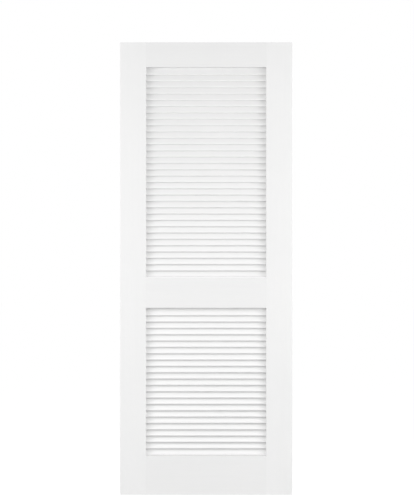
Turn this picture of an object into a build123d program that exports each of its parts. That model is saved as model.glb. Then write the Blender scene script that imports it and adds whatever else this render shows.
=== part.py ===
from build123d import *
import math
import os

# Interior door slab with two openings of fixed slats, all in painted wood, in millimetres.
# The frame is two full height stiles with three rails tenoned between them.
# Each slat slopes down towards the front, and its two ends are housed in slots routed in the stiles.
# The origin is at the bottom of the hinge edge, at mid thickness.
# +X runs from the hinge edge to the latch edge, +Y from the front to the back, and +Z up.

# Driving dimensions of the slab: the stock door of 800 mm by 2100 mm by 40 mm
door_width = 800.0
door_height = 2100.0
door_thickness = 40.0

# Driving dimensions of the frame pieces
stile_width = 121.0
top_rail_height = 115.0
lock_rail_height = 139.0
lock_rail_centre_height = 937.0
bottom_rail_height = 181.0

# Tenons on the rails, and the room that their mortises leave round them
tenon_length = 30.0
tenon_thickness = 12.0
tenon_shoulder = 18.0
tenon_clearance = 0.2
tenon_end_gap = 1.0

# Slats: flat boards with eased long edges, leaning at an angle from the horizontal
upper_slat_count = 33
lower_slat_count = 23
slat_width = 38.0
slat_thickness = 6.0
slat_edge_radius = 2.0
slat_lean = 60.0
gap_above_top_slat = 0.5
gap_below_last_slat = 4.5
slats_per_node = 2

# Slots in the stiles that house the ends of the slats
slot_depth = 8.0
slot_clearance = 0.15

# Small bevels: the slab's long outer edges, the rims of the openings, and the rails' edges at each joint
outer_edge_radius = 2.0
opening_bevel = 1.2
joint_bevel = 0.25

# Places worked out from the driving dimensions
opening_left = stile_width
opening_right = door_width - stile_width
lock_rail_bottom = lock_rail_centre_height - lock_rail_height / 2
lock_rail_top = lock_rail_centre_height + lock_rail_height / 2
top_rail_bottom = door_height - top_rail_height
rails = {
    "top_rail": (top_rail_bottom, door_height),
    "lock_rail": (lock_rail_bottom, lock_rail_top),
    "bottom_rail": (0, bottom_rail_height),
}
upper_opening = (lock_rail_top, top_rail_bottom)
lower_opening = (bottom_rail_height, lock_rail_bottom)


def slat_heights(opening_bottom, opening_top, count):
    """Heights of the centres of an opening's slats, the top one first, evenly spaced between two rails."""
    lean = math.radians(slat_lean)
    flat_width, flat_thickness = (size - 2 * slat_edge_radius for size in (slat_width, slat_thickness))
    half_rise = (flat_width * math.sin(lean) + flat_thickness * math.cos(lean)) / 2 + slat_edge_radius
    lowest = opening_bottom + gap_below_last_slat + half_rise
    highest = opening_top - gap_above_top_slat - half_rise
    pitch = (highest - lowest) / (count - 1)
    return [highest - pitch * place for place in range(count)]


def block(x1, x2, z1, z2, thickness=door_thickness):
    """A box between two X and two Z values, centred on the slab's mid plane."""
    return Pos((x1 + x2) / 2, 0, (z1 + z2) / 2) * Box(abs(x2 - x1), thickness, abs(z2 - z1))


def slat_prism(x1, x2, height, allowance=0):
    """A slat's shape from one X value to another, larger all round by the allowance."""
    across = Plane((x1, 0, height), x_dir=(0, 1, 0), z_dir=(1, 0, 0))
    width, thickness = slat_width + 2 * allowance, slat_thickness + 2 * allowance
    outline = RectangleRounded(width, thickness, slat_edge_radius + allowance, rotation=slat_lean)
    return extrude(across * outline, amount=x2 - x1)


def rim_bevel(opening_bottom, opening_top, side):
    """A cutter that bevels an opening's rim on one side of the slab: -1 for the front, 1 for the back."""
    middle_x = (opening_left + opening_right) / 2
    middle_z = (opening_bottom + opening_top) / 2
    narrow_end_y = side * (door_thickness / 2 - opening_bevel)
    narrow_end = Plane((middle_x, narrow_end_y, middle_z), x_dir=(1, 0, 0), z_dir=(0, side, 0))
    outline = Rectangle(opening_right - opening_left, opening_top - opening_bottom)
    return extrude(narrow_end * outline, amount=opening_bevel, taper=-45)


rim_bevels = [rim_bevel(*opening, side) for opening in (upper_opening, lower_opening) for side in (-1, 1)]
upper_slats = slat_heights(*upper_opening, upper_slat_count)
lower_slats = slat_heights(*lower_opening, lower_slat_count)


def stile(inner_x, outer_x):
    """A stile from its inner to its outer edge, with mortises for the rails and slots for the slats."""
    outward = 1 if outer_x > inner_x else -1
    body = block(inner_x, outer_x, 0, door_height)
    upright_edges = body.edges().filter_by(Axis.Z).group_by(Axis.X)
    body = fillet(upright_edges[-1 if outward == 1 else 0], outer_edge_radius)
    mortise_floor = inner_x + outward * (tenon_length + tenon_end_gap)
    room = tenon_shoulder - tenon_clearance
    mortise_thickness = tenon_thickness + 2 * tenon_clearance
    mortises = [
        block(inner_x, mortise_floor, bottom + room, top - room, mortise_thickness)
        for bottom, top in rails.values()
    ]
    slot_floor = inner_x + outward * slot_depth
    slots = [
        slat_prism(inner_x, slot_floor, height, slot_clearance)
        for height in upper_slats + lower_slats
    ]
    return body - mortises - slots - rim_bevels


def rail(bottom, top):
    """A rail from stile to stile, with a stub tenon at each end and a fine bevel along each joint."""
    body = block(opening_left, opening_right, bottom, top)
    body = chamfer(body.edges().filter_by(Axis.Z), joint_bevel)
    tenon_ends = (opening_left - tenon_length, opening_right + tenon_length)
    tenons = block(*tenon_ends, bottom + tenon_shoulder, top - tenon_shoulder, tenon_thickness)
    return body + tenons - rim_bevels


def slat_nodes(prefix, heights):
    """Neighbouring slats share a node, as separate solids. Its name holds their numbers from the top."""
    ends = (opening_left - slot_depth, opening_right + slot_depth)
    slats = [slat_prism(*ends, height) for height in heights]
    shared = {}
    for first in range(0, len(slats), slats_per_node):
        group = slats[first : first + slats_per_node]
        numbers = "_".join(f"{first + place:02d}" for place in range(1, len(group) + 1))
        shared[f"{prefix}_{numbers}"] = Compound(children=group)
    return shared


nodes = {
    "hinge_stile": stile(opening_left, 0),
    "latch_stile": stile(opening_right, door_width),
    **{name: rail(*span) for name, span in rails.items()},
    **slat_nodes("upper_slats", upper_slats),
    **slat_nodes("lower_slats", lower_slats),
}

os.makedirs("parts", exist_ok=True)
for name, shape in nodes.items():
    export_step(shape, f"parts/{name}.step")
print(len(upper_slats + lower_slats), "slats in", len(nodes), "nodes")
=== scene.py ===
import math

import bpy
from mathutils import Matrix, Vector


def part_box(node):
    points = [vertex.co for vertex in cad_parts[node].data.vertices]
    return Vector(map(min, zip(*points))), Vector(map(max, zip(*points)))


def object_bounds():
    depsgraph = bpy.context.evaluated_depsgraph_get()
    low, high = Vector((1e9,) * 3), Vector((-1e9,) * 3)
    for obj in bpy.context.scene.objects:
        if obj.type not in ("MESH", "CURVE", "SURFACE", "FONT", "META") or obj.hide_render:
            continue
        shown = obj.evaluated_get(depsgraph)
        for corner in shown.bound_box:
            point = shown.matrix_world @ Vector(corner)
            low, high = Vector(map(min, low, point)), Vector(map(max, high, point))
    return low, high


# The looks of a white painted louvre door slab. Lengths are in metres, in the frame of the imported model:
# +X from the hinge edge to the latch edge, +Y from the front to the back, +Z up.

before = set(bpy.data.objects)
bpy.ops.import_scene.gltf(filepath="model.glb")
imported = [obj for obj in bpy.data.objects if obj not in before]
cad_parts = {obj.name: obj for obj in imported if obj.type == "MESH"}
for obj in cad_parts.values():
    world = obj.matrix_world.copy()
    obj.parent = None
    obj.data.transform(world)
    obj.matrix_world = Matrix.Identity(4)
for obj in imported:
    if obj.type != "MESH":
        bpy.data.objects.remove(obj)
cad_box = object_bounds()
door_low, door_high = cad_box
door_height = door_high.z - door_low.z
front_y = door_low.y
mid_x = (door_low.x + door_high.x) / 2

# The photograph's frame, and where the door's edges lie in it, in pixels from its top left corner
photo_height = 500
photo_centre = (207, 250)
photo_door_left, photo_door_right = 119.9, 292.4
photo_door_top, photo_door_bottom = 42.3, 495.0

# Camera, whose sensor and lens Blender takes in millimetres
camera_distance = 12.0
sensor_size = 36.0

# Light. At a level of 1 the surround shows white, and a matt surface that faces a lamp shows its own colour.
surround_level = 1.0
dome_level = 0.636
lamp_distance = 2.8
lamp_size = (1.0, 1.2)
lamp_target_height = 1.1
side_lamps = {"azimuth": math.radians(67), "height": 1.7, "level": 0.331}
front_lamps = {"azimuth": math.radians(45), "height": 1.3, "level": 0.097}

# Floor: its colour for the light that it throws back on the object, its colour where it is seen, and the lift
# that takes it there to white under the dome's light alone
floor_reach = 40.0
floor_colour = 0.8
seen_floor_colour = 0.4
floor_lift = 1 - dome_level * seen_floor_colour

# Paint: its white, from a cool to a warm end, and what that is multiplied by on each kind of piece
cool_white = Vector((0.857, 0.860, 0.860))
warm_white = Vector((0.863, 0.860, 0.857))
stile_tone = 1.0
rail_tone = 0.98
# The slats' higher tone is painted light: it stands for the extra light that their upward-facing faces catch
slat_lit_tone = 1.058

# Paint: its gloss, from the smoothest patches to the roughest
specular_level = 0.3
roughness_range = (0.46, 0.53)

# Paint: the marks in it, with their size and detail, and what they multiply the white by. The wood's grain
# and growth rings are long along the piece. The grain and the roller's stipple stand out by a height.
grain_size, grain_detail, grain_height = 0.0022, 3.0, 0.00006
stipple_size, stipple_detail, stipple_height = 0.0013, 2.0, 0.00003
ring_size, ring_detail = 0.014, 1.0
patch_size, patch_detail = 0.35, 3.0
grain_stretch = 30
grain_range = (0.994, 1.004)
ring_range = (0.996, 1.004)
patch_range = (0.992, 1.008)

# Paint: its edges, with their width, and the cosines of the surface's turn there that count as a whole edge
# and as none. A whole edge multiplies the white by a painted shade that dims the edges' highlights, and the
# roughness by a rubbed, smoother paint.
edge_width = 0.0015
edge_samples = 4
full_edge_turn, no_edge_turn = 0.8, 0.99
painted_edge_shade = 0.975
rubbed_roughness = 0.85

# Slats: what the white is multiplied by from one slat to the next
slat_range = (0.994, 1.004)

# Slats: painted shade at their ends by the stiles: how far from the stiles it reaches, and what it leaves of
# the white at the very end
end_shade_reach = 0.04
end_shade_range = (0.95, 0.97)

# Slats: their lean from the horizontal, as in the part
slat_lean = math.radians(60)


def make_camera():
    """A level camera that looks along +Y and frames the door's front as the photograph does."""
    metres_per_pixel = door_height / (photo_door_bottom - photo_door_top)
    off_centre = (photo_door_left + photo_door_right) / 2 - photo_centre[0]
    data = bpy.data.cameras.new("camera")
    data.sensor_width = sensor_size
    data.lens = data.sensor_width * camera_distance / (photo_height * metres_per_pixel)
    camera = bpy.data.objects.new("camera", data)
    camera.location = (
        mid_x - off_centre * metres_per_pixel,
        front_y - camera_distance,
        door_low.z + (photo_door_bottom - photo_centre[1]) * metres_per_pixel,
    )
    camera.rotation_euler = (math.radians(90), 0, 0)
    bpy.context.scene.collection.objects.link(camera)
    bpy.context.scene.camera = camera


def softbox(name, azimuth, height, level):
    """A rectangular area light that faces the door, at an azimuth from the camera's line."""
    target = Vector((mid_x, 0, lamp_target_height))
    place = Vector((mid_x + lamp_distance * math.sin(azimuth), -lamp_distance * math.cos(azimuth), height))
    towards = target - place
    data = bpy.data.lights.new(name, "AREA")
    data.shape = "RECTANGLE"
    data.size, data.size_y = lamp_size
    data.energy = level * (math.pi * towards.length) ** 2
    light = bpy.data.objects.new(name, data)
    light.location = place
    light.rotation_mode = "QUATERNION"
    light.rotation_quaternion = towards.to_track_quat("-Z", "Y")
    bpy.context.scene.collection.objects.link(light)


def make_lights():
    """Plain soft studio light: two lamps far to the sides, and two weaker ones nearer the camera's line."""
    for pair, lamps in (("side", side_lamps), ("front", front_lamps)):
        for side, name in ((-1, "left"), (1, "right")):
            softbox(f"{name}_{pair}_lamp", side * lamps["azimuth"], lamps["height"], lamps["level"])


def add_node(tree, kind, inputs=None, **options):
    """Adds a shader node with its options, sets or links its inputs, and returns it."""
    node = tree.nodes.new(kind)
    for name, value in options.items():
        setattr(node, name, value)
    for name, value in (inputs or {}).items():
        if isinstance(value, bpy.types.NodeSocket):
            tree.links.new(value, node.inputs[name])
        else:
            node.inputs[name].default_value = value
    return node


def arithmetic(tree, operation, *values):
    """The result of an operation, such as ADD, on one or two sockets or numbers."""
    return add_node(tree, "ShaderNodeMath", dict(enumerate(values)), operation=operation).outputs[0]


def seen_directly(tree):
    """1 for camera, glossy and transmission rays, and 0 for the rays that light the object."""
    path = add_node(tree, "ShaderNodeLightPath")
    seen = path.outputs["Is Camera Ray"]
    for ray in ("Is Glossy Ray", "Is Transmission Ray"):
        seen = arithmetic(tree, "MAXIMUM", seen, path.outputs[ray])
    return seen


def make_world():
    """A white surround for the camera and for reflections, and an even dome of light on the object."""
    world = bpy.data.worlds.new("surround")
    bpy.context.scene.world = world
    world.use_nodes = True
    tree = world.node_tree
    tree.nodes.clear()
    dome, surround = (
        add_node(tree, "ShaderNodeBackground", {"Color": (1, 1, 1, 1), "Strength": strength}).outputs[0]
        for strength in (dome_level, surround_level)
    )
    mix = add_node(tree, "ShaderNodeMixShader", {0: seen_directly(tree), 1: dome, 2: surround})
    add_node(tree, "ShaderNodeOutputWorld", {"Surface": mix.outputs[0]})


def make_floor():
    """A wide pale floor that shows white, with the door's soft shadow kept."""
    mesh = bpy.data.meshes.new("floor")
    corners = ((-1, -1), (1, -1), (1, 1), (-1, 1))
    places = [(mid_x + x * floor_reach, y * floor_reach, door_low.z) for x, y in corners]
    mesh.from_pydata(places, [], [(0, 1, 2, 3)])
    floor = bpy.data.objects.new("floor", mesh)
    bpy.context.scene.collection.objects.link(floor)
    material = bpy.data.materials.new("floor")
    material.use_nodes = True
    tree = material.node_tree
    tree.nodes.clear()
    matt, seen_matt = (
        add_node(tree, "ShaderNodeBsdfDiffuse", {"Color": (colour, colour, colour, 1)}).outputs[0]
        for colour in (floor_colour, seen_floor_colour)
    )
    lift = add_node(tree, "ShaderNodeEmission", {"Strength": floor_lift}).outputs[0]
    seen = add_node(tree, "ShaderNodeAddShader", {0: seen_matt, 1: lift}).outputs[0]
    mix = add_node(tree, "ShaderNodeMixShader", {0: seen_directly(tree), 1: matt, 2: seen})
    add_node(tree, "ShaderNodeOutputMaterial", {"Surface": mix.outputs[0]})
    mesh.materials.append(material)


def noise(tree, place, size, detail, stretch=(1, 1, 1)):
    """Noise with marks of a size in metres, stretched along X, Y and Z."""
    scale = [1 / (size * along) for along in stretch]
    scaled = add_node(tree, "ShaderNodeMapping", {"Vector": place, "Scale": scale}).outputs[0]
    inputs = {"Vector": scaled, "Scale": 1.0, "Detail": detail}
    return add_node(tree, "ShaderNodeTexNoise", inputs).outputs[0]


def spread(tree, value, low, high, value_from=0.3, value_to=0.7):
    """Takes a value, such as noise, which mostly lies between 0.3 and 0.7, to a range from low to high."""
    inputs = {"Value": value, "From Min": value_from, "From Max": value_to, "To Min": low, "To Max": high}
    return add_node(tree, "ShaderNodeMapRange", inputs).outputs[0]


def product(tree, *factors):
    """The factors multiplied together."""
    total = factors[0]
    for factor in factors[1:]:
        total = arithmetic(tree, "MULTIPLY", total, factor)
    return total


def edges_of(tree):
    """0 on flat faces and 1 along the piece's edges."""
    rounded = add_node(tree, "ShaderNodeBevel", {"Radius": edge_width}, samples=edge_samples).outputs[0]
    flat = add_node(tree, "ShaderNodeNewGeometry").outputs["Normal"]
    inputs = {0: rounded, 1: flat}
    alike = add_node(tree, "ShaderNodeVectorMath", inputs, operation="DOT_PRODUCT").outputs["Value"]
    return spread(tree, alike, 1.0, 0.0, value_from=full_edge_turn, value_to=no_edge_turn)


def slat_number(tree, place):
    """A whole number that is the same all over one slat and differs from one slat to the next."""
    first_pair, second_pair = (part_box(f"upper_slats_{numbers}") for numbers in ("01_02", "03_04"))
    pitch = (first_pair[1].z - second_pair[1].z) / 2
    lowest_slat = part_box("lower_slats_23")
    lowest_centre = (lowest_slat[0].z + lowest_slat[1].z) / 2
    across_slats = Vector((0, -math.tan(slat_lean), 1)) / pitch
    inputs = {0: place, 1: across_slats}
    height = add_node(tree, "ShaderNodeVectorMath", inputs, operation="DOT_PRODUCT").outputs["Value"]
    # Counted from half a pitch below the lowest slat's centre, so that the number changes between slats
    below_lowest = lowest_centre / pitch - 0.5
    from_lowest = arithmetic(tree, "SUBTRACT", height, below_lowest)
    return arithmetic(tree, "FLOOR", from_lowest)


def painted_end_shade(tree, place, patches):
    """Painted shade: a factor of 1 along the middle of the slats, and a little less near the stiles,
    unevenly.
    """
    opening_left, opening_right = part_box("hinge_stile")[1].x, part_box("latch_stile")[0].x
    half_opening = (opening_right - opening_left) / 2
    across = add_node(tree, "ShaderNodeSeparateXYZ", {0: place}).outputs["X"]
    from_middle = arithmetic(tree, "SUBTRACT", across, mid_x)
    outwards = arithmetic(tree, "ABSOLUTE", from_middle)
    at_stile = spread(tree, patches, *end_shade_range)
    return spread(tree, outwards, 1.0, at_stile, value_from=half_opening - end_shade_reach, value_to=half_opening)


def paint(name, tone, grain_axis, of_slats=False):
    """White satin paint on wood: faint grain and roller stipple, an uneven white, painted shade along the
    edges, where the roughness is rubbed smoother, and on the slats painted shade at their ends by the stiles.
    """
    material = bpy.data.materials.new(name)
    material.use_nodes = True
    tree = material.node_tree
    shader = tree.nodes["Principled BSDF"]
    shader.inputs["Specular IOR Level"].default_value = specular_level
    place = add_node(tree, "ShaderNodeTexCoord").outputs["Object"]
    stretch = [grain_stretch if axis == grain_axis else 1 for axis in "XYZ"]
    grain = noise(tree, place, grain_size, grain_detail, stretch)
    rings = noise(tree, place, ring_size, ring_detail, stretch)
    stipple = noise(tree, place, stipple_size, stipple_detail)
    patches = noise(tree, place, patch_size, patch_detail)
    edges = edges_of(tree)

    factors = [
        spread(tree, patches, *patch_range),
        spread(tree, rings, *ring_range),
        spread(tree, grain, *grain_range),
        # Painted shade: the white is a little darker along the edges, to dim their highlights
        spread(tree, edges, 1.0, painted_edge_shade, value_from=0, value_to=1),
    ]
    if of_slats:
        inputs = {"W": slat_number(tree, place)}
        chance = add_node(tree, "ShaderNodeTexWhiteNoise", inputs, noise_dimensions="1D").outputs["Value"]
        factors.append(spread(tree, chance, *slat_range, value_from=0, value_to=1))
        # Painted shade on the slats' ends, where they meet the stiles
        factors.append(painted_end_shade(tree, place, patches))
    # Sockets 4 and 5 are the two vectors that the node mixes, and output 1 is the mixed vector
    whites = {0: patches, 4: cool_white * tone, 5: warm_white * tone}
    white = add_node(tree, "ShaderNodeMix", whites, data_type="VECTOR").outputs[1]
    inputs = {0: white, "Scale": product(tree, *factors)}
    colour = add_node(tree, "ShaderNodeVectorMath", inputs, operation="SCALE").outputs[0]
    tree.links.new(colour, shader.inputs["Base Color"])

    polish = spread(tree, edges, 1.0, rubbed_roughness, value_from=0, value_to=1)
    roughness = product(tree, spread(tree, patches, *roughness_range), polish)
    tree.links.new(roughness, shader.inputs["Roughness"])

    # The relief is in metres, which a strength and a distance of 1 leave as it is
    heights = ((grain, grain_height), (stipple, stipple_height))
    grain_relief, stipple_relief = (product(tree, texture, height) for texture, height in heights)
    relief = arithmetic(tree, "ADD", grain_relief, stipple_relief)
    bump = add_node(tree, "ShaderNodeBump", {"Height": relief, "Strength": 1.0, "Distance": 1.0})
    tree.links.new(bump.outputs[0], shader.inputs["Normal"])
    return material


def dress():
    """Gives every node of the slab its paint, with the grain along the piece."""
    stile_paint = paint("stile_paint", stile_tone, "Z")
    rail_paint = paint("rail_paint", rail_tone, "X")
    # The slats' paint is brighter, which is painted light
    slat_paint = paint("slat_paint", slat_lit_tone, "X", of_slats=True)
    for name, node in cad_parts.items():
        if name.endswith("stile"):
            material = stile_paint
        elif name.endswith("rail"):
            material = rail_paint
        else:
            material = slat_paint
        for material_slot in node.material_slots:
            material_slot.material = material


make_camera()
make_lights()
make_world()
make_floor()
dress()
bpy.context.scene.view_settings.view_transform = "Standard"
